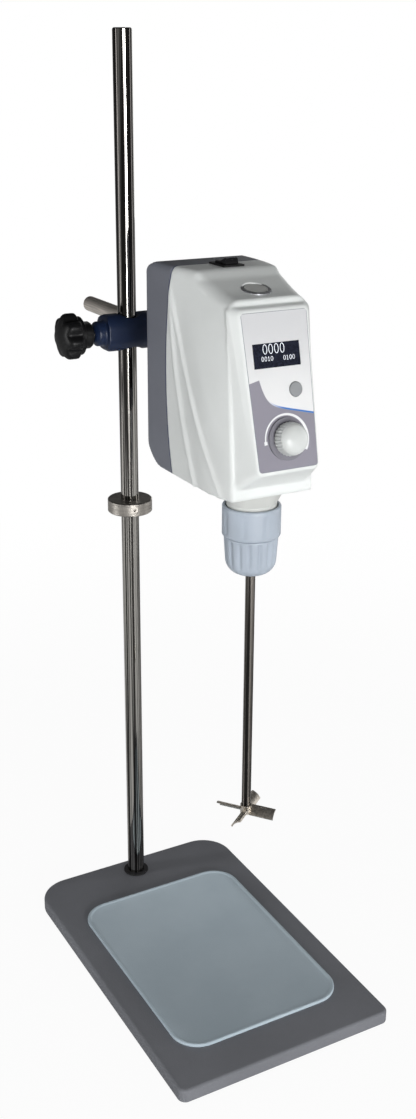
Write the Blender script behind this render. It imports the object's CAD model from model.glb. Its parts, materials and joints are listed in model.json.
"""Looks of an overhead stirrer on a plate stand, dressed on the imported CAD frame.

Objects are in metres, with sizes written in millimetres and taken times MM. The head's own
frame has its origin on the spindle's axis at the height of the support arm: x across, v towards
the back, z up."""

import json
import math

import bmesh
import bpy
import numpy as np
from mathutils import Euler, Matrix, Vector

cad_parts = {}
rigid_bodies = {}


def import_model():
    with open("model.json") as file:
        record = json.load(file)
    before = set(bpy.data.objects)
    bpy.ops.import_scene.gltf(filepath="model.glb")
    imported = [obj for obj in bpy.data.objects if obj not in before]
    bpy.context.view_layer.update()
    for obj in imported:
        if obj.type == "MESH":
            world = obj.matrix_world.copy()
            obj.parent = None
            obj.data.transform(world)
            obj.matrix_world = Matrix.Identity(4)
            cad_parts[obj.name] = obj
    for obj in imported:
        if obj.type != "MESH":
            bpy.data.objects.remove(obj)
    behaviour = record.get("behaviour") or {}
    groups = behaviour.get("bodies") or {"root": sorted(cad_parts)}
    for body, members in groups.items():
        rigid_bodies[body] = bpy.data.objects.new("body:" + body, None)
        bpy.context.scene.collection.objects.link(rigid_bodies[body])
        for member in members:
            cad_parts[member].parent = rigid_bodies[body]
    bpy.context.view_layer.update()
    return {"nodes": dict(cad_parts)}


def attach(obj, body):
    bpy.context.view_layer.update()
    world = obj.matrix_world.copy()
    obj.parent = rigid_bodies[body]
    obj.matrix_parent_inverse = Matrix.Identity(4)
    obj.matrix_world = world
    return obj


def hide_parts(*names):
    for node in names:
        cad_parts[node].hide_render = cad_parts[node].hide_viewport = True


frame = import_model()
MM = 0.001

# ------------------------------------------------------------------ places and sizes

WHITE = (1.0, 1.0, 1.0, 1.0)
HEAD = Vector((22, -41, 563)) * MM
ROD_Y = 136.5 * MM
CLAMP_Z = 561 * MM
ROD_KNOB_X = -34.4 * MM
ARM_KNOB_X = HEAD.x + 33.4 * MM
CAST_SKIN, CAST_ROUNDS = 0.7 * MM, 6

# The stand, in millimetres.
PLATE_WIDTH, PLATE_LENGTH, PLATE_FRONT = 203, 312, -156
PLATE_FOOT, PLATE_THICKNESS, PLATE_EDGE = 2, 12, 2.6
PLATE_CORNERS = [7, 30, 30, 7]
MAT_WIDTH, MAT_LENGTH, MAT_FROM_FRONT, MAT_CORNER = 159, 217, 36, 25
MAT_FOOT, MAT_THICKNESS, MAT_EDGE = 14.05, 3, 1.1

# The head's case, in millimetres in the head's own frame.
HEAD_HALF = 41.5
HEAD_BACK = 104.0
HEAD_TOP = 70.0
HEAD_FOOT = -95.5
SEAM_RADIUS = 348.0
SEAM_CENTRE = (66.0 - SEAM_RADIUS, -12.0)
SEAM_GROOVE = 0.3  # how far behind the seam its groove lies

# The panel: its tilt from upright, its middle, and its two axes up the panel and out of it.
PANEL_TILT = math.radians(13.6)
PANEL_CENTRE = Vector((0, -39.5, -10.5))
PANEL_TURN = Euler((math.radians(90) - PANEL_TILT, 0, 0)).to_matrix()
PANEL = Matrix.Translation(HEAD + PANEL_CENTRE * MM) @ PANEL_TURN.to_4x4()
PANEL_UP, PANEL_OUT = PANEL_TURN.col[1], PANEL_TURN.col[2]
KNOB_AT = (0.5, -35.5)

CAMERA_AT = (-0.475785, -0.872035, 0.778124)
CAMERA_TURN = (-28.9005, 21.0185, 0.3443)  # azimuth, elevation and roll, in degrees
CAMERA_SENSOR = 36
CAMERA_LENS = 1296.326 / 1119 * CAMERA_SENSOR

# Each lamp: place, aim, size in metres and watts.
LAMPS = {
    "key": ((-0.35, -2.6, 0.48), (0, 0, 0.45), (1.2, 0.85), 54),
    "side": ((-2.0, 0.6, 0.6), (0, 0, 0.45), (0.3, 1.1), 12),
    "right": ((2.3, -0.6, 0.6), (0, 0, 0.45), (0.4, 1.1), 9),
    "back": ((1.5, 1.6, 0.9), (0, 0, 0.4), (0.8, 1.0), 3),
}


# ------------------------------------------------------------------ nodes

class Value:
    """A node's socket that takes part in arithmetic."""

    def __init__(self, tree, socket):
        self.tree, self.socket = tree, socket

    def _with(self, operation, *values):
        return self.tree.maths(operation, *values)

    def __add__(self, other):
        return self._with("ADD", self, other)

    def __sub__(self, other):
        return self._with("SUBTRACT", self, other)

    def __rsub__(self, other):
        return self._with("SUBTRACT", other, self)

    def __mul__(self, other):
        return self._with("MULTIPLY", self, other)

    def __truediv__(self, other):
        return self._with("DIVIDE", self, other)

    def __gt__(self, other):
        return self._with("GREATER_THAN", self, other)

    def __lt__(self, other):
        return self._with("LESS_THAN", self, other)

    def __abs__(self):
        return self._with("ABSOLUTE", self)

    def __pow__(self, other):
        return self._with("POWER", self, other)

    __radd__, __rmul__ = __add__, __mul__

    def root(self):
        return self._with("SQRT", self)

    def step(self, low, high):
        """0 below low, 1 above high, smooth between."""
        settings = {"interpolation_type": "SMOOTHSTEP"}
        return self.tree.node("ShaderNodeMapRange", settings, {"Value": self, "From Min": low, "From Max": high})


class Tree:
    """A node tree whose nodes are made, set and linked in single calls."""

    def __init__(self, tree):
        self.tree = tree

    def feed(self, node, sockets):
        for key, value in sockets.items():
            socket = node.inputs[key]
            if isinstance(value, Value):
                self.tree.links.new(value.socket, socket)
            else:
                if hasattr(socket.default_value, "__len__") and len(value) == 3 and len(socket.default_value) == 4:
                    value = (*value, 1.0)
                socket.default_value = value

    def node(self, kind, settings=None, sockets=None, out=0):
        made = self.tree.nodes.new(kind)
        for key, value in (settings or {}).items():
            setattr(made, key, value)
        self.feed(made, sockets or {})
        return Value(self, made.outputs[out])

    def maths(self, operation, *values):
        return self.node("ShaderNodeMath", {"operation": operation}, dict(enumerate(values)))

    def split(self, vector):
        made = self.tree.nodes.new("ShaderNodeSeparateXYZ")
        self.tree.links.new(vector.socket, made.inputs[0])
        return [Value(self, out) for out in made.outputs]

    def seen_as(self, ray):
        """1 for one kind of ray, such as the camera's, and 0 for the others."""
        return self.node("ShaderNodeLightPath", out=f"Is {ray} Ray")

    def mix(self, factor, low, high):
        return self.node("ShaderNodeMixShader", None, {0: factor, 1: low, 2: high})

    def end(self, output, shader):
        self.tree.links.new(shader.socket, self.tree.nodes[output].inputs["Surface"])


class Finish(Tree):
    """One procedural material round a Principled BSDF."""

    def __init__(self, name, **sockets):
        self.material = bpy.data.materials.new(name)
        self.material.use_nodes = True
        super().__init__(self.material.node_tree)
        self.shader = self.tree.nodes["Principled BSDF"]
        self.feed(self.shader, sockets)
        self.place = self.node("ShaderNodeTexCoord", out="Object")

    def set(self, **sockets):
        names = {key.replace("_", " ").title().replace("Ior", "IOR"): value for key, value in sockets.items()}
        self.feed(self.shader, names)
        return self

    def noise(self, scale, detail=3.0, place=None):
        sockets = {"Vector": place or self.place, "Scale": scale, "Detail": detail, "Roughness": 0.55}
        return self.node("ShaderNodeTexNoise", None, sockets)

    def stretched(self, scale):
        return self.node("ShaderNodeMapping", None, {"Vector": self.place, "Scale": scale})

    def within(self, matrix):
        """Object coordinates seen from a frame given as a matrix, as three values."""
        at, turn, _ = matrix.decompose()
        sockets = {"Vector": self.place, "Location": at, "Rotation": turn.to_euler()}
        return self.split(self.node("ShaderNodeMapping", {"vector_type": "TEXTURE"}, sockets))

    def blend(self, factor, low, high):
        made = self.tree.nodes.new("ShaderNodeMix")
        made.data_type = "RGBA"
        ends = [s for s in made.inputs if s.type == "RGBA"]
        for socket, value in ((made.inputs[0], factor), (ends[0], low), (ends[1], high)):
            if isinstance(value, Value):
                self.tree.links.new(value.socket, socket)
            else:
                socket.default_value = (*value, 1.0) if hasattr(value, "__len__") else value
        return Value(self, next(s for s in made.outputs if s.type == "RGBA"))

    def bump(self, height, depth):
        made = self.node("ShaderNodeBump", None, {"Height": height, "Distance": depth, "Strength": 1.0})
        self.feed(self.shader, {"Normal": made})
        return self


class Pattern(Tree):
    """A Geometry Nodes tree with named inputs, run on one object's mesh at a time."""

    SOCKETS = {"Form": "NodeSocketGeometry", "Finish": "NodeSocketMaterial"}

    def __init__(self, name, *inputs):
        super().__init__(bpy.data.node_groups.new(name, "GeometryNodeTree"))
        interface = self.tree.interface
        self.ids, self.reads = {}, []
        for key in ("Form", "Finish", *inputs):
            kind = self.SOCKETS.get(key, "NodeSocketFloat")
            self.ids[key] = interface.new_socket(key, in_out="INPUT", socket_type=kind).identifier
        interface.new_socket("Form", in_out="OUTPUT", socket_type=self.SOCKETS["Form"])
        source = self.tree.nodes.new("NodeGroupInput")
        self.given = {key: Value(self, source.outputs[key]) for key in self.ids}

    def read(self, name, kind="FLOAT"):
        """A value that each corner of the mesh brings with it."""
        self.reads.append(name)
        return self.node("GeometryNodeInputNamedAttribute", {"data_type": kind}, {"Name": name})

    def joined(self, parts):
        """Parts in their order, for which the newest link has to be the first part's."""
        made = self.tree.nodes.new("GeometryNodeJoinGeometry")
        for part in reversed(parts):
            self.tree.links.new(part.socket, made.inputs[0])
        return Value(self, made.outputs[0])

    def close(self, form):
        """Ends the tree: what it made becomes real and takes its finish."""
        real = self.node("GeometryNodeRealizeInstances", None, {"Geometry": form})
        painted = self.node("GeometryNodeSetMaterial", None, {"Geometry": real, "Material": self.given["Finish"]})
        self.tree.links.new(painted.socket, self.tree.nodes.new("NodeGroupOutput").inputs[0])
        return self

    def run(self, obj, finish, **values):
        """Runs the tree on an object, whose plain mesh is then what the tree made."""
        modifier = obj.modifiers.new(self.tree.name, "NODES")
        modifier.node_group = self.tree
        modifier[self.ids["Finish"]] = finish.material
        for key, value in values.items():
            modifier[self.ids[key.title()]] = float(value)
        bake(obj)
        for name in self.reads:
            if name in obj.data.attributes:
                obj.data.attributes.remove(obj.data.attributes[name])


def bake(obj):
    """Leaves an object with the plain mesh that its modifiers make."""
    data = bpy.data.meshes.new_from_object(obj.evaluated_get(bpy.context.evaluated_depsgraph_get()))
    obj.modifiers.clear()
    obj.data = data


def tone(colour, by):
    return tuple(min(1.0, channel * by) for channel in colour)


def moulded(name, colour, roughness=0.45, grain=2600, depth=0.00003, spread=0.06):
    """Moulded plastic: spark-eroded grain, faint flow marks and handled patches."""
    f = Finish(name, **{"Specular IOR Level": 0.45})
    flow = f.noise(14, 4.0)
    fine = f.noise(grain, 2.0)
    f.set(base_color=f.blend(flow.step(0.3, 0.7), tone(colour, 1 - spread), tone(colour, 1 + spread)))
    f.set(roughness=flow * 0.16 + fine * 0.10 + (roughness - 0.13))
    return f.bump(fine, depth)


def painted(name, colour, roughness=0.42, grain=900, depth=0.00012):
    """Powder coat: orange peel over a faint cloudiness."""
    f = Finish(name, **{"Specular IOR Level": 0.5})
    cloud = f.noise(9, 5.0)
    peel = f.noise(grain, 2.0)
    speck = f.noise(grain * 1.9, 1.0).step(0.62, 0.72)
    body = f.blend(cloud.step(0.3, 0.7), tone(colour, 0.93), tone(colour, 1.07))
    f.set(base_color=f.blend(speck * 0.35, body, tone(colour, 1.5)))
    f.set(roughness=cloud * 0.12 + peel * 0.12 + (roughness - 0.12))
    return f.bump(peel, depth)


def streaked(name, dark, light, scale, roughness):
    """Polished round bar: long dark and bright draw lines along its height."""
    f = Finish(name, Metallic=1.0)
    lines = f.noise(scale, 1.0, place=f.stretched((1, 1, 0.003)))
    smear = f.noise(60, 3.0)
    f.set(base_color=f.blend(lines.step(0.46, 0.62), dark, light))
    f.set(roughness=smear * 0.06 + (roughness - 0.03))
    return f.bump(lines, 0.000001)


def turned(name, colour, roughness=0.28, along=(0.02, 0.02, 1), scale=2600, depth=0.00002, spread=0.15):
    """Turned or drawn metal: fine lines round or along the piece."""
    f = Finish(name, Metallic=1.0)
    lines = f.noise(scale, 3.0, place=f.stretched(along))
    smear = f.noise(60, 3.0)
    f.set(base_color=f.blend(lines.step(0.35, 0.65), tone(colour, 1 - 1.4 * spread), tone(colour, 1 + 0.8 * spread)))
    f.set(roughness=(lines + smear) * spread + (roughness - spread))
    return f.bump(lines, depth)


finishes = {
    "plate": painted("plate_paint", (0.190, 0.196, 0.214), 0.72).set(specular_ior_level=0.15),
    "rubber": moulded("black_rubber", (0.018, 0.018, 0.020), 0.75),
    "black": moulded("black_moulding", (0.0045, 0.0045, 0.005), 0.42, spread=0.2).set(specular_ior_level=0.25),
    "gloss": moulded("rocker_gloss", (0.010, 0.010, 0.011), 0.16, grain=600, depth=0.000005),
    "navy": painted("clamp_enamel", (0.007, 0.017, 0.052), 0.40, grain=520),
    "chrome": streaked("rod_chrome", (0.045, 0.042, 0.040), (0.66, 0.64, 0.60), 620, 0.07),
    "steel": turned("turned_steel", (0.50, 0.47, 0.43), 0.30),
    "drawn": turned("drawn_steel", (0.80, 0.75, 0.69), 0.52, along=(1, 0.02, 1), scale=1500),
    "blade": turned("blade_steel", (0.66, 0.61, 0.54), 0.42, along=(1, 1, 0.06), scale=700),
    "shaft": streaked("shaft_steel", (0.030, 0.028, 0.026), (0.36, 0.33, 0.30), 900, 0.16),
    "brass": turned("pad_brass", (0.68, 0.48, 0.20), 0.32),
    "alloy": turned("cast_alloy", (0.58, 0.59, 0.61), 0.45, along=(1, 1, 1), scale=380, depth=0.00006),
    "copper": turned("winding_copper", (0.60, 0.27, 0.12), 0.40, along=(1, 1, 0.05), scale=1200),
    "board": moulded("circuit_board", (0.020, 0.11, 0.045), 0.38),
    "sleeve": moulded("sleeve_blue", (0.385, 0.435, 0.50), 0.40, spread=0.05),
    "button": moulded("button_grey", (0.27, 0.28, 0.29), 0.45),
    "knob": moulded("knob_silver", (0.60, 0.62, 0.61), 0.30, grain=1400, depth=0.00001),
    "ring": moulded("ring_grey", (0.20, 0.195, 0.225), 0.45),
    "neck": moulded("neck_plastic", (0.56, 0.57, 0.55), 0.42),
}


def case_finish():
    """Light shell and slate cover in one, divided by the bowed seam."""
    f = Finish("head_case", **{"Specular IOR Level": 0.45})
    _, v, z = f.within(Matrix.Translation(HEAD))
    back, up = v / MM - SEAM_CENTRE[0], z / MM - SEAM_CENTRE[1]
    past = (back * back + up * up).root() - SEAM_RADIUS
    cover = past.step(-0.08, 0.08)
    line = 1 - abs(past - SEAM_GROOVE).step(0.5, 0.85)
    flow, fine = f.noise(12, 4.0), f.noise(2400, 2.0)
    shell = f.blend(flow.step(0.3, 0.7), (0.70, 0.725, 0.715), (0.75, 0.775, 0.765))
    slate = f.blend(flow.step(0.3, 0.7), (0.150, 0.158, 0.188), (0.168, 0.178, 0.210))
    body = f.blend(cover, shell, slate)
    f.set(base_color=f.blend(line, body, (0.022, 0.035, 0.095)))
    f.set(roughness=flow * 0.12 + fine * 0.10 + 0.30)
    return f.bump(fine * 0.06 - line, 0.0004)


def mat_finish():
    """Rubber mat: fine leather-like pebble and rubbed patches."""
    f = Finish("mat_rubber", **{"Specular IOR Level": 0.12})
    pebble = f.node("ShaderNodeTexVoronoi", None, {"Vector": f.place, "Scale": 900.0})
    cloud = f.noise(16, 5.0)
    f.set(base_color=f.blend(cloud.step(0.3, 0.7), (0.47, 0.56, 0.62), (0.51, 0.60, 0.66)))
    f.set(roughness=cloud * 0.12 + pebble * 0.15 + 0.48)
    return f.bump(pebble, 0.00008)


FILM_HALF_WIDTH, FILM_HALF_LENGTH, FILM_BLUR, STRIPE_WIDTH = 26.9, 58.15, 0.12, 1.3
DIAL_RADIUS, DIAL_END = 18.2, -0.95


def overlay_finish():
    """Printed film: silver above, mauve grey below a plain curved blue line, with the knob's dial arc."""
    f = Finish("overlay_film", **{"Specular IOR Level": 0.5})
    x, y, _ = f.within(PANEL)
    x, y = x / MM, y / MM
    speck, edge = f.noise(5200, 1.0), f.noise(30, 3.0)

    fall = f.maths("EXPONENT", (x + 18) * -0.256) * 18.5 - x * 0.2376 - 13.25
    climb = x * 0.227 + 13.6
    curve = f.maths("MINIMUM", fall, climb)
    field = (curve - y).step(-FILM_BLUR, FILM_BLUR)
    fade_in = (x + 28).step(14, 30)
    stripe = (curve + STRIPE_WIDTH - y).step(-0.1, 0.1) * (1 - field) * fade_in
    silver = f.blend(y.step(-15, 55), (0.76, 0.765, 0.765), (0.55, 0.555, 0.57))
    silver = f.blend(speck * 0.3, silver, (0.82, 0.825, 0.83))
    mauve = f.blend(speck, (0.245, 0.235, 0.28), (0.28, 0.27, 0.315))
    printed = f.blend(stripe, f.blend(field, silver, mauve), (0.035, 0.17, 0.52))

    across, up = x - KNOB_AT[0], y - KNOB_AT[1]
    from_knob = (across * across + up * up).root()
    turn = f.maths("ARCTAN2", up, across)
    width = (turn - DIAL_END).step(0.0, 4.1) * -1.5 + 2.6
    inside = (width - abs(from_knob - DIAL_RADIUS) * 2).step(-0.15, 0.15)
    dial = inside * (turn > -0.55) + inside * (turn < -3.0)
    printed = f.blend(dial, printed, (0.83, 0.84, 0.85))

    half_width = y * 0.0236 + FILM_HALF_WIDTH
    border = f.maths("MINIMUM", half_width - abs(x), FILM_HALF_LENGTH - abs(y))
    f.set(base_color=f.blend(border.step(0.4, 0.6), (0.20, 0.21, 0.25), printed))
    f.set(roughness=edge * 0.14 + speck * 0.08 + 0.28)
    return f.bump(speck, 0.00001)


def window_finish():
    """Dark glass of the display, with a film of dust."""
    f = Finish("display_glass", **{"Specular IOR Level": 0.6, "IOR": 1.5})
    dust = f.noise(420, 4.0)
    f.set(base_color=f.blend(dust.step(0.4, 0.7), (0.011, 0.013, 0.024), (0.017, 0.020, 0.034)))
    f.set(roughness=dust * 0.10 + 0.07)
    return f.bump(dust, 0.000002)


def lit_finish():
    """Lit numerals of the display."""
    f = Finish("display_digits", **{"Emission Strength": 0.75})
    glow = f.noise(2600, 2.0)
    f.set(base_color=f.blend(glow, (0.55, 0.58, 0.62), (0.72, 0.74, 0.78)))
    f.set(emission_color=f.blend(glow, (0.62, 0.66, 0.72), (0.80, 0.83, 0.88)))
    return f.set(roughness=glow * 0.1 + 0.4)


finishes.update(case=case_finish(), mat=mat_finish(), overlay=overlay_finish(),
                window=window_finish(), lit=lit_finish())


# ------------------------------------------------------------------ making pieces

def placed(name, data):
    obj = bpy.data.objects.new(name, data)
    bpy.context.scene.collection.objects.link(obj)
    return obj


def dress(obj, finish, body, nodes=(), smooth=True):
    obj.data.materials.clear()
    obj.data.materials.append(finishes[finish].material)
    if smooth:
        obj.data.shade_smooth()
    else:
        obj.data.shade_flat()
    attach(obj, body)
    if nodes:
        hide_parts(*nodes)
    return obj


def piece(name, verts, faces, finish, body, slot, node):
    mesh = bpy.data.meshes.new(name)
    mesh.from_pydata([tuple(v) for v in verts], [], faces)
    return dress(placed(name, mesh), finish, body, (node,))


def soften(obj, angle):
    """Smooth shading that keeps edges sharper than an angle."""
    obj.data.set_sharp_from_angle(angle=math.radians(angle))
    return obj


def raw(name, verts, faces=(), kind="FLOAT", **values):
    """An object for a pattern to run on, from points in millimetres, with a named value for each."""
    mesh = bpy.data.meshes.new(name)
    mesh.from_pydata([Vector(v) * MM for v in verts], [], list(faces))
    for key, each in values.items():
        mesh.attributes.new(key, kind, "POINT").data.foreach_set("value", each)
    return placed(name, mesh)


def flute_pattern():
    """Draws a round form in towards its axis, Count times round, by each corner's own depth."""
    p = Pattern("flutes", "Count", "Turn", "Power")
    x, y, z = p.split(p.node("GeometryNodeInputPosition"))
    around = p.maths("ARCTAN2", y, x) * p.given["Count"] + p.given["Turn"]
    wave = 0.5 - p.maths("COSINE", around) * 0.5
    left = 1 - p.read("depth") * wave ** p.given["Power"] / (x * x + y * y).root()
    place = p.node("ShaderNodeCombineXYZ", None, {"X": x * left, "Y": y * left, "Z": z})
    return p.close(p.node("GeometryNodeSetPosition", None, {"Geometry": p.given["Form"], "Position": place}))


flutes = flute_pattern()


def turned_piece(name, profile, turns, place, finish, body, slot, node, angle, ring=False, **pattern):
    """A form turned about +Z from (height, radius, flute depth) points in millimetres, fluted and
    put in place. It is capped at both ends or, as a ring, closed from its last point to its first."""
    rows, verts, faces, depths = len(profile), [], [], []
    for height, radius, *depth in profile:
        depths += [sum(depth) * MM] * turns
        for k in range(turns):
            a = 2 * math.pi * k / turns
            verts.append((radius * math.cos(a), radius * math.sin(a), height))
    for i in range(rows if ring else rows - 1):
        low, high = i * turns, (i + 1) % rows * turns
        for k in range(turns):
            n = (k + 1) % turns
            faces.append((low + k, low + n, high + n, high + k))
    if not ring:
        faces += [tuple(range(turns))[::-1], tuple(range((rows - 1) * turns, rows * turns))]
    obj = raw(name, verts, faces, depth=depths)
    flutes.run(obj, finishes[finish], **pattern)
    obj.data.transform(place)
    return soften(dress(obj, finish, body, (node,)), angle)


def dome(steps, foot, rise, radius, spread):
    """(height, radius) points of a quarter round that closes upwards, or downwards with a negative rise."""
    angles = [math.pi / 2 * s / steps for s in range(1, steps + 1)]
    return [(foot + rise * math.sin(a), radius + spread * math.cos(a)) for a in angles]


def upright(x, y, z=0.0):
    return Matrix.Translation((x, y, z))


# ------------------------------------------------------------------ head case

def round_and(a, b, r):
    """Inside both, with an outer edge of radius r."""
    return np.minimum(np.maximum(a, b), -r) + np.hypot(np.maximum(a + r, 0), np.maximum(b + r, 0))


def round_or(a, b, r):
    """Inside either, with an inner fillet of radius r."""
    return np.maximum(np.minimum(a, b), r) - np.hypot(np.maximum(r - a, 0), np.maximum(r - b, 0))


def ease(t):
    """0 below 0, 1 above 1, smooth between."""
    t = np.clip(t, 0, 1)
    return t * t * (3 - 2 * t)


def plane(p, point, normal):
    """How far points lie out from a plane."""
    n = np.array(normal, float)
    return (p - np.array(point, float)) @ (n / np.linalg.norm(n))


FRONT = ((0, -31.4, HEAD_FOOT), (0, -149.5, 12.9))  # a point of each main face, and its normal
LEDGE = ((0, -18.5, 54), (0, -5.3, 30.5))
SLOPE = ((0, 29, HEAD_TOP), (0, -10.7, 17))
CHAMFER_HALF, CHAMFER_OUT, CHAMFER_FRONT, CORNER_EDGE = 35.6, 0.970, 0.2425, 5
TOP_EDGE, BACK_EDGE, FOOT_EDGE, FRONT_EDGE = 1.6, 7, 2.5, 2.4
SHOULDER_EDGE, SHOULDER_WIDENS, SHOULDER_FROM, SHOULDER_RUN, SHOULDER_LIFT = 8, 4, 50, 30, 2
BACK_CROWN, BACK_HEEL = 22, 34
BROW_EDGE, BROW_WIDENS, BROW_BELOW, BROW_RUN = 2.0, 8.5, 69.5, 7
LEDGE_FILLET, WEDGE_FILLET = 9, 0.8
FOLD_FROM, FOLD_ACROSS, FOLD_ANGLE, FOLD_SOFT = (70, 72), (0.8810, 0.4734), math.radians(6), 3
RIB_TOP, RIB_DROP, RIB_HEIGHT, RIB_WIDTH = (60, 64), 158, 0.9, 2.2
RIBS = ((19.5, 1.9), (-17.5, 1.45))  # where each rib meets the foot, and how it bows
VALLEY_DEPTH, VALLEY_RAMP, VALLEY_FADE = 0.9, 7, 20
WEDGE_REACH, WEDGE_HALF, WEDGE_WIDENS = 60.3, 26.6, 2.9
WEDGE_SPLAY, WEDGE_TOP_SPLAY, WEDGE_SINK = 0.26, 0.62, 3
WEDGE_EDGE, WEDGE_FACE_EDGE = 5, 1.8
WEDGE_HEEL = (0, -30.6, -86.0)


def flank(v, z):
    """Half width of the case: folded in towards the brow, with two soft ribs and valleys."""
    ahead = (z - FOLD_FROM[1]) * FOLD_ACROSS[1] - (v - FOLD_FROM[0]) * FOLD_ACROSS[0]
    width = HEAD_HALF - np.logaddexp(0, ahead / FOLD_SOFT) * FOLD_SOFT * math.tan(FOLD_ANGLE)
    down = np.clip((RIB_TOP[1] - z) / RIB_DROP, 0, 1)
    for foot, bow in RIBS:
        past = RIB_TOP[0] + (foot - RIB_TOP[0]) * down ** bow - v
        valley = ease(past / VALLEY_RAMP) * (1 - ease((past - VALLEY_RAMP) / VALLEY_FADE))
        rib = RIB_HEIGHT * np.exp(-(past / RIB_WIDTH) ** 2) * ease(down * 5)
        width = width - VALLEY_DEPTH * valley * ease(down * 3) + rib
    return width


def panel_wedge(q, front):
    """The block that carries the panel: its sides splay back to the case's front, most at the top."""
    normal = np.array((0, -math.cos(PANEL_TILT), math.sin(PANEL_TILT)))
    slope = np.array((0, math.sin(PANEL_TILT), math.cos(PANEL_TILT)))
    centre = np.array(PANEL_CENTRE)
    top, foot = centre + slope * WEDGE_REACH, centre - slope * WEDGE_REACH
    face = plane(q, centre, normal)
    up = np.clip((q - centre) @ slope / (2 * WEDGE_REACH) + 0.5, 0, 1)
    splay = WEDGE_SPLAY * np.clip(-face, -3, 40) + WEDGE_TOP_SPLAY * up ** 1.5 * np.clip(-face, 0, 6)
    cheek = (q[:, 0] - WEDGE_HALF - WEDGE_WIDENS * up - splay) * 0.9
    under = plane(q, foot, np.cross((1, 0, 0), foot - np.array(WEDGE_HEEL)))
    over = plane(q, top, (0, -0.25, 0.97))
    rim = round_and(round_and(cheek, under, WEDGE_EDGE), over, WEDGE_EDGE)
    return np.maximum(round_and(rim, face, WEDGE_FACE_EDGE), -WEDGE_SINK - front)


def case_depth(p):
    """Distance outside the head's case, in millimetres, for points in the head's frame."""
    x, v, z = np.abs(p[:, 0]), p[:, 1], p[:, 2]
    q = np.stack([x, v, z], 1)
    front, ledge, slope = (plane(q, *face) for face in (FRONT, LEDGE, SLOPE))
    chamfer = (x - CHAMFER_HALF) * CHAMFER_OUT + front * CHAMFER_FRONT
    side = round_and(x - flank(v, z), chamfer, CORNER_EDGE)
    shoulder = SHOULDER_EDGE + SHOULDER_WIDENS * ease((SHOULDER_FROM - v) / SHOULDER_RUN)
    box = round_and(side, z - HEAD_TOP - SHOULDER_LIFT, shoulder)
    box = round_and(box, z - HEAD_TOP, TOP_EDGE)
    box = round_and(box, v - HEAD_BACK, BACK_EDGE)
    back = round_and(round_and(v - HEAD_BACK, z - HEAD_TOP, BACK_CROWN), HEAD_FOOT - z, BACK_HEEL)
    box = np.maximum(box, back)
    box = round_and(box, HEAD_FOOT - z, FOOT_EDGE)
    brow = BROW_EDGE + BROW_WIDENS * ease((BROW_BELOW - z) / BROW_RUN)
    box = round_and(box, round_or(ledge, slope, LEDGE_FILLET), brow)
    box = round_and(box, front, FRONT_EDGE)
    return round_or(box, panel_wedge(q, front), WEDGE_FILLET)


CASE_BOX = np.array((-42.0, -66.0, -96.0)), np.array((42.0, HEAD_BACK, HEAD_TOP))
CASE_MIDDLE = np.array((0.0, 22.0, -14.0))
CASE_GRID = (56, 112, 112)
CASE_WALL = 1.8 * MM
REACH, HALVINGS = (0.2, 1.35), 34  # where the case lies along the rays to the box, and steps to find it
NECK_RADIUS, PORT_RADIUS, RIM_INSIDE, ARM_RADIUS = 26.2, 9.4, 0.1, 7.8
NEAR_FOOT, NEAR_LEDGE, NEAR_TOP, NEAR_BACK = -90, 40, 60, 95  # the side of the case an opening is in
SWITCH_BACK, SWITCH_HALVES = 44, (6.5, 9.0)
INLET_UP, INLET_HALVES = -52, (13.5, 10)
PANEL_HALVES = (23.5, 54, 1)


def cube_grid():
    """Points and outward quads of the grid on the six sides of the case's box."""
    low, high = CASE_BOX
    verts, faces, index = [], [], {}

    def vertex(key):
        if key not in index:
            index[key] = len(verts)
            verts.append([low[a] + (high[a] - low[a]) * key[a] / CASE_GRID[a] for a in range(3)])
        return index[key]

    for axis in range(3):
        a, b = [k for k in range(3) if k != axis]
        for end in (0, CASE_GRID[axis]):
            for i in range(CASE_GRID[a]):
                for j in range(CASE_GRID[b]):
                    quad = []
                    for di, dj in ((0, 0), (1, 0), (1, 1), (0, 1)):
                        key = [0, 0, 0]
                        key[axis], key[a], key[b] = end, i + di, j + dj
                        quad.append(vertex(tuple(key)))
                    faces.append(quad if (end > 0) == (axis != 1) else quad[::-1])
    return np.array(verts), np.array(faces)


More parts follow.
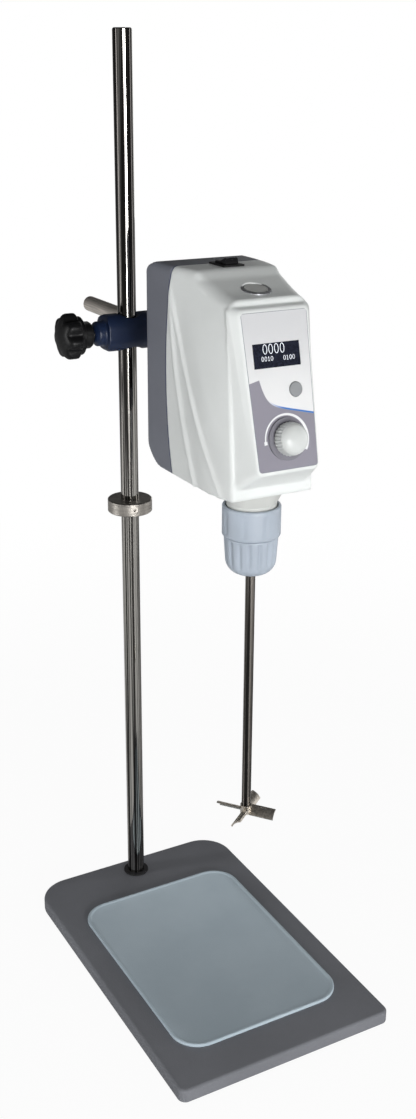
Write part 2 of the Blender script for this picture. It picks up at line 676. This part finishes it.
def head_case():
    """The grid drawn in along rays on to the case, cut open where other pieces stand, and parted
    at the bowed seam."""
    grid, faces = cube_grid()
    rays = grid - CASE_MIDDLE
    near, far = (np.full(len(rays), reach) for reach in REACH)
    for _ in range(HALVINGS):
        mid = (near + far) / 2
        outside = case_depth(CASE_MIDDLE + rays * mid[:, None]) > 0
        far, near = np.where(outside, mid, far), np.where(outside, near, mid)
    points = CASE_MIDDLE + rays * near[:, None]
    centres = points[faces].mean(1)
    x, v, z = np.abs(centres[:, 0]), centres[:, 1], centres[:, 2]
    past = np.hypot(v - SEAM_CENTRE[0], z - SEAM_CENTRE[1]) - SEAM_RADIUS
    neck = (np.hypot(x, v) < NECK_RADIUS) & (z < NEAR_FOOT)
    port = (np.hypot(x, v) < PORT_RADIUS) & (z > NEAR_LEDGE)
    switch = (x < SWITCH_HALVES[0]) & (np.abs(v - SWITCH_BACK) < SWITCH_HALVES[1]) & (z > NEAR_TOP)
    arm = (np.hypot(x, z) < ARM_RADIUS) & (v > NEAR_BACK)
    inlet = (x < INLET_HALVES[0]) & (np.abs(z - INLET_UP) < INLET_HALVES[1]) & (v > NEAR_BACK)
    rise, out = np.abs((centres - np.array(PANEL_CENTRE)) @ np.array((PANEL_UP, PANEL_OUT)).T).T
    panel = (x < PANEL_HALVES[0]) & (rise < PANEL_HALVES[1]) & (out < PANEL_HALVES[2])
    solid = ~(neck | port | switch | arm | inlet | panel)
    for hole, radius in ((neck, NECK_RADIUS), (port, PORT_RADIUS)):
        rim = sorted(set(faces[hole].ravel()) & set(faces[solid].ravel()))
        points[rim, :2] *= (radius - RIM_INSIDE) / np.hypot(points[rim, 0], points[rim, 1])[:, None]
    for name, node, slot, keep in (("case_front", "front_shell", "shell_white", past < 0),
                                   ("case_back", "rear_cover", "cover_grey", past >= 0)):
        chosen = faces[keep & solid]
        used = sorted(set(chosen.ravel()))
        new = {old: k for k, old in enumerate(used)}
        corners = [HEAD + Vector(points[v]) * MM for v in used]
        quads = [[new[v] for v in quad] for quad in chosen]
        obj = piece(name, corners, quads, "case", "head", slot, node)
        wall = obj.modifiers.new("wall", "SOLIDIFY")
        wall.thickness, wall.offset = CASE_WALL, -1


head_case()


# ------------------------------------------------------------------ stand

def outline(w, l, corners, steps=14):
    """Points round a rectangle, anticlockwise from the front right, with its four corner radii."""
    points = []
    for k, (sx, sy) in enumerate(((1, -1), (1, 1), (-1, 1), (-1, -1))):
        r = corners[k]
        for s in range(steps + 1):
            a = math.radians(-90 + 90 * k + 90 * s / steps)
            points.append((sx * (w / 2 - r) + r * math.cos(a), sy * (l / 2 - r) + r * math.sin(a)))
    return points


def slab(w, l, corners, levels, place):
    """Closed slab from (inset, height) levels, bottom to top."""
    verts, faces = [], []
    for inset, h in levels:
        shape = outline(w - 2 * inset, l - 2 * inset, [max(c - inset, 0.4) for c in corners])
        verts += [place @ (Vector((x, y, h)) * MM) for x, y in shape]
    n = len(verts) // len(levels)
    for i in range(len(levels) - 1):
        for k in range(n):
            m = (k + 1) % n
            faces.append((i * n + k, i * n + m, (i + 1) * n + m, (i + 1) * n + k))
    faces.append(tuple(range(n))[::-1])
    faces.append(tuple(range((len(levels) - 1) * n, len(levels) * n)))
    return verts, faces


def edge_levels(height, radius, low=0.0, steps=5):
    """Levels of a slab whose top edge is rounded."""
    broken_foot = [(0.8, low), (0.2, low + 0.25), (0, low + 0.9)]
    levels = broken_foot + [(0, low + height - radius)]
    for s in range(1, steps + 1):
        a = math.pi / 2 * s / steps
        levels.append((radius * (1 - math.cos(a)), low + height - radius * (1 - math.sin(a))))
    return levels


plate_levels = edge_levels(PLATE_THICKNESS, PLATE_EDGE, PLATE_FOOT)
plate = slab(PLATE_WIDTH, PLATE_LENGTH, PLATE_CORNERS, plate_levels, Matrix())
soften(piece("stand_plate", *plate, "plate", "base", "plate_paint", "base_plate"), 60)
mat_border = [(2.4, 2.95), (3.2, 2.3), (4.0, 2.0)]  # the raised border's fall to the mat's field
mat_levels = edge_levels(MAT_THICKNESS, MAT_EDGE, steps=4) + mat_border
mat_place = upright(0, (PLATE_FRONT + MAT_FROM_FRONT + MAT_LENGTH / 2) * MM, MAT_FOOT * MM)
mat = slab(MAT_WIDTH, MAT_LENGTH, [MAT_CORNER] * 4, mat_levels, mat_place)
soften(piece("work_mat", *mat, "mat", "base", "mat_rubber", "base_mat"), 60)


# ------------------------------------------------------------------ clamp

STAR_LOBES, STAR_POWER = 7, 1.6
STAR_ROWS = [  # height, radius and the share of it that the flutes take
    (0, 4.1, 0), (0, 8.6, 0), (0.7, 10.2, 0), (2.4, 11.4, 0), (8.4, 11.5, 0), (9.0, 12.2, 0),
    (9.3, 15.2, 0), (10.0, 16.2, 0), (12.6, 16.4, 0.02), (13.4, 16.8, 0.05), (13.9, 18.4, 0.12),
    (14.8, 19.3, 0.19), (17.0, 19.5, 0.21), (22.2, 19.5, 0.21), (24.0, 19.0, 0.20), (25.6, 17.6, 0.16),
    (27.2, 14.4, 0.08), (28.4, 10.0, 0.02), (29.2, 5.0, 0), (29.5, 0.05, 0)]


def star_knob(name, x, z, side, node, body):
    """A star knob on the rod's or the arm's clamp, facing out to one side."""
    place = Matrix.Translation((x, ROD_Y, z)) @ Euler((0, side * math.pi / 2, 0)).to_matrix().to_4x4()
    rows = [(height, radius, radius * share) for height, radius, share in STAR_ROWS]
    turned_piece(name, rows, 112, place, "black", body, "black_plastic", node, 50, count=STAR_LOBES, power=STAR_POWER)


star_knob("rod_star_knob", ROD_KNOB_X, CLAMP_Z, -1, "rod_clamp_knob", "rod_knob")
star_knob("arm_star_knob", ARM_KNOB_X, HEAD.z, 1, "arm_clamp_knob", "arm_knob")


def cast_form(name, node, finish, body):
    """A cast piece: the CAD form with its edges softened all over."""
    obj = placed(name, frame["nodes"][node].data.copy())
    mesh = bmesh.new()
    mesh.from_mesh(obj.data)
    bmesh.ops.remove_doubles(mesh, verts=mesh.verts, dist=1e-6)
    mesh.to_mesh(obj.data)
    mesh.free()
    remesh = obj.modifiers.new("skin", "REMESH")
    remesh.mode, remesh.voxel_size = "VOXEL", CAST_SKIN
    smooth = obj.modifiers.new("soft", "SMOOTH")
    smooth.factor, smooth.iterations = 0.5, CAST_ROUNDS
    bake(obj)
    return dress(obj, finish, body, (node,))


cast_form("clamp_casting", "clamp_body", "navy", "clamp")


# ------------------------------------------------------------------ chuck

SLEEVE_RADIUS, SLEEVE_EDGE, SLEEVE_LIP, SLEEVE_BORE = 23.4, 23.0, 22.3, 16.2
NOSE_RADIUS, NOSE_TIP, NOSE_SEAT = 20.7, 8.2, 18.2


def upper_sleeve():
    """The chuck's smooth sleeve, with eight shallow flutes. Heights are above the floor."""
    foot, top, r = 428.5, 453.5, SLEEVE_RADIUS
    rows = [(foot, SLEEVE_BORE), (foot, SLEEVE_LIP), (foot + 0.3, SLEEVE_EDGE), (foot + 1.0, r), (foot + 2.5, r),
            (foot + 4, r, 1.0), (foot + 19, r, 1.0), (foot + 21, r), (top - 1.0, r), (top - 0.3, SLEEVE_EDGE),
            (top, SLEEVE_LIP), (top, 21.3), (top - 0.6, 20.9), (foot + 6, 20.8), (foot + 5.6, SLEEVE_BORE)]
    turned_piece("chuck_upper_sleeve", rows, 160, upright(HEAD.x, HEAD.y), "sleeve", "spindle", "sleeve_blue",
                 "chuck_rear_sleeve", 40, ring=True, count=8, turn=math.pi, power=6)


def lower_sleeve():
    """The chuck's ribbed nose. Heights are above the floor."""
    top, cone, foot = 428.1, 408.9, 395.9
    nose = dome(8, cone, -13, NOSE_TIP, NOSE_RADIUS - NOSE_TIP)
    rows = [(top, NOSE_SEAT), (top, 20.9), (top - 0.4, 21.6), (top - 1.2, 21.85), (top - 3, 21.8, 1.5),
            (cone + 4, 21.0, 1.5), (cone, NOSE_RADIUS, 1.4), (*nose[0], 1.0), (*nose[1], 0.5), *nose[2:],
            (foot + 0.1, 6.2), (foot + 2.4, 5.7), (foot + 6, 14.0), (cone, NOSE_SEAT)]
    turned_piece("chuck_lower_sleeve", rows[::-1], 216, upright(HEAD.x, HEAD.y), "sleeve", "chuck_sleeve",
                 "sleeve_blue", "chuck_front_sleeve", 40, ring=True, count=16, power=2.2)


upper_sleeve()
lower_sleeve()


# ------------------------------------------------------------------ speed knob

def speed_dial():
    """The ridged knob with its domed crown. Heights are out from the panel."""
    base, top = 3.0, 11.0
    crown = dome(8, top + 0.35, 4.5, 0, 11.1)
    rows = [(base, 3.2), (base, 12.2), (base + 0.3, 12.8, 1.2), (base + 1.0, 12.9, 1.2), (top - 1.2, 12.1, 1.2),
            (top - 0.3, 11.9, 1.2), (top, 11.5), (top + 0.35, 11.1), *crown[:-1], (crown[-1][0], 0.02)]
    place = PANEL @ upright(KNOB_AT[0] * MM, KNOB_AT[1] * MM)
    turned_piece("speed_dial", rows, 240, place, "knob", "speed_knob", "knob_silver", "speed_knob", 42,
                 count=30, power=0.6)


speed_dial()


# ------------------------------------------------------------------ display

NUMERAL_RELIEF, NUMERAL_LEVEL = 0.03, -0.075  # thickness, and height of the middle above the panel
NUMERAL_SHARE = 0.66  # a numeral's width as a share of the pitch


def numeral_pattern():
    """A slender display numeral on each point: a ring where its digit is 0, a stem, flag and foot
    where it is 1."""
    p = Pattern("numeral_row", "Width", "Height", "Stroke", "Relief")
    size = p.node("ShaderNodeCombineXYZ", None, {"X": p.given["Width"], "Y": p.given["Height"], "Z": 1.0})
    ribbon = {"Width": p.given["Stroke"], "Height": p.given["Relief"]}
    ribbon = p.node("GeometryNodeCurvePrimitiveQuadrilateral", {"mode": "RECTANGLE"}, ribbon)

    def line(start, end):
        return p.node("GeometryNodeCurvePrimitiveLine", None, {"Start": (*start, 0), "End": (*end, 0)})

    ring = p.node("GeometryNodeCurvePrimitiveCircle", None, {"Resolution": 36, "Radius": 0.5})
    flag = {"Resolution": 3, "Start": (-0.4, 0.32, 0), "Middle": (-0.04, 0.43, 0), "End": (0, 0.5, 0)}
    flag = p.node("GeometryNodeCurveQuadraticBezier", None, flag)
    one = p.joined([line((0, -0.5), (0, 0.5)), flag, line((-0.4, -0.5), (0.4, -0.5))])
    numerals = []
    for path in (ring, one):
        path = p.node("GeometryNodeTransform", None, {"Geometry": path, "Scale": size})
        solid = {"Curve": path, "Profile Curve": ribbon, "Fill Caps": True}
        solid = p.node("GeometryNodeCurveToMesh", None, solid)
        numerals.append(p.node("GeometryNodeGeometryToInstance", None, {"Geometry": solid}))
    rows = {"Points": p.given["Form"], "Instance": p.joined(numerals),
            "Pick Instance": True, "Instance Index": p.read("digit", "INT")}
    return p.close(p.node("GeometryNodeInstanceOnPoints", None, rows))


numeral_rows = numeral_pattern()


def numerals(name, digits, height, pitch, at, stroke):
    """A row of numerals about a place on the panel, just proud of the display window."""
    places = [(at[0] + (k - (len(digits) - 1) / 2) * pitch, at[1], NUMERAL_LEVEL) for k in range(len(digits))]
    obj = raw(name, places, kind="INT", digit=[int(digit) for digit in digits])
    sizes = {"width": pitch * NUMERAL_SHARE, "height": height, "stroke": stroke, "relief": NUMERAL_RELIEF}
    numeral_rows.run(obj, finishes["lit"], **{key: value * MM for key, value in sizes.items()})
    obj.data.transform(PANEL)
    dress(obj, "lit", "head", smooth=False)


numerals("speed_numerals", "0000", 6.8, 4.9, (-3.2, 31.2), 0.44)
numerals("time_numerals", "0010", 3.1, 2.6, (-9.2, 24.3), 0.32)
numerals("set_numerals", "0100", 3.1, 2.6, (9.4, 23.9), 0.32)


# ------------------------------------------------------------------ finishes of the CAD nodes

NODE_FINISH = {
    "black": ["encoder_body", "button_switch", "switch_housing", "power_inlet"],
    "rubber": ["base_feet", "rod_foot_ring", "drive_belt"],
    "gloss": ["switch_rocker"],
    "chrome": ["stand_rod"],
    "steel": ["stop_collar", "collar_screw", "rod_clamp_screw", "arm_clamp_screw", "arm_lock_screw", "cover_screws",
              "motor_housing", "motor_rotor", "motor_bearings", "motor_screws", "spindle", "retaining_ring",
              "upper_bearing", "lower_bearing", "chuck_body", "chuck_jaw_1", "chuck_jaw_2", "chuck_jaw_3", "chuck_nut",
              "encoder_shaft", "board_screws"],
    "drawn": ["support_arm"],
    "shaft": ["stirrer_shaft"],
    "blade": ["propeller"],
    "brass": ["rod_clamp_pad", "arm_clamp_pad"],
    "alloy": ["port_ring", "chassis_frame", "motor_pulley", "spindle_pulley"],
    "copper": ["motor_stator"],
    "board": ["control_board", "power_board", "display_module"],
    "button": ["mode_button"],
    "ring": ["knob_base_ring", "encoder_rotor"],
    "neck": ["neck_housing", "port_cap"],
    "overlay": ["panel_overlay"],
    "window": ["display_window"],
}
for finish, names in NODE_FINISH.items():
    for name in names:
        data = frame["nodes"][name].data
        data.materials.clear()
        data.materials.append(finishes[finish].material)


# ------------------------------------------------------------------ floor, light and camera

def floor():
    bpy.ops.mesh.primitive_plane_add(size=60)
    obj = bpy.context.object
    obj.name = "floor"
    f = Finish("floor_paper", Roughness=0.9)
    grain = f.noise(40, 3.0)
    f.set(base_color=f.blend(grain, (0.86, 0.86, 0.86), (0.90, 0.90, 0.90)))
    x, y, _ = f.split(f.place)
    far = (x * x + y * y).root().step(0.45, 1.3)
    glow = f.node("ShaderNodeEmission", None, {"Color": WHITE, "Strength": 1.0})
    lit = Value(f, f.shader.outputs[0])
    f.end("Material Output", f.mix(f.seen_as("Camera") * (far * 0.05 + 0.95), lit, glow))
    obj.data.materials.append(f.material)


def sky():
    """White for the camera; for light, bright round the horizon, dim overhead and in mirrors."""
    world = bpy.data.worlds.new("studio")
    bpy.context.scene.world = world
    world.use_nodes = True
    s = Tree(world.node_tree)
    _, _, up = s.split(s.node("ShaderNodeTexCoord", out="Generated"))
    horizon = {"Value": up, "From Min": -0.1, "From Max": 0.45, "To Min": 0.80, "To Max": 0.18}
    horizon = s.node("ShaderNodeMapRange", None, horizon)
    light = s.tree.nodes["Background"]
    s.feed(light, {"Color": WHITE, "Strength": horizon * (1 - s.seen_as("Glossy") * 0.8)})
    shown = s.node("ShaderNodeBackground", None, {"Color": WHITE, "Strength": 1.0})
    s.end("World Output", s.mix(s.seen_as("Camera"), Value(s, light.outputs[0]), shown))


def lamp(name, at, towards, size, power):
    light = bpy.data.lights.new(name, "AREA")
    light.shape, light.size, light.size_y, light.energy = "RECTANGLE", *size, power
    obj = placed(name, light)
    obj.location = at
    obj.rotation_euler = (Vector(towards) - Vector(at)).to_track_quat("-Z", "Y").to_euler()


def camera():
    azimuth, elevation, roll = (math.radians(a) for a in CAMERA_TURN)
    level = math.cos(elevation)
    back = Vector((math.sin(azimuth) * level, -math.cos(azimuth) * level, math.sin(elevation)))
    right = (-back).cross(Vector((0, 0, 1))).normalized()
    up = right.cross(-back)
    right, up = right * math.cos(roll) + up * math.sin(roll), up * math.cos(roll) - right * math.sin(roll)
    data = bpy.data.cameras.new("view")
    data.sensor_fit, data.sensor_height, data.lens = "VERTICAL", CAMERA_SENSOR, CAMERA_LENS
    obj = placed("view", data)
    turn = Matrix((right, up, back)).transposed().to_4x4()
    obj.matrix_world = Matrix.Translation(CAMERA_AT) @ turn
    bpy.context.scene.camera = obj


floor()
sky()
for name, setting in LAMPS.items():
    lamp(name, *setting)
camera()
bpy.context.scene.view_settings.view_transform = "Standard"
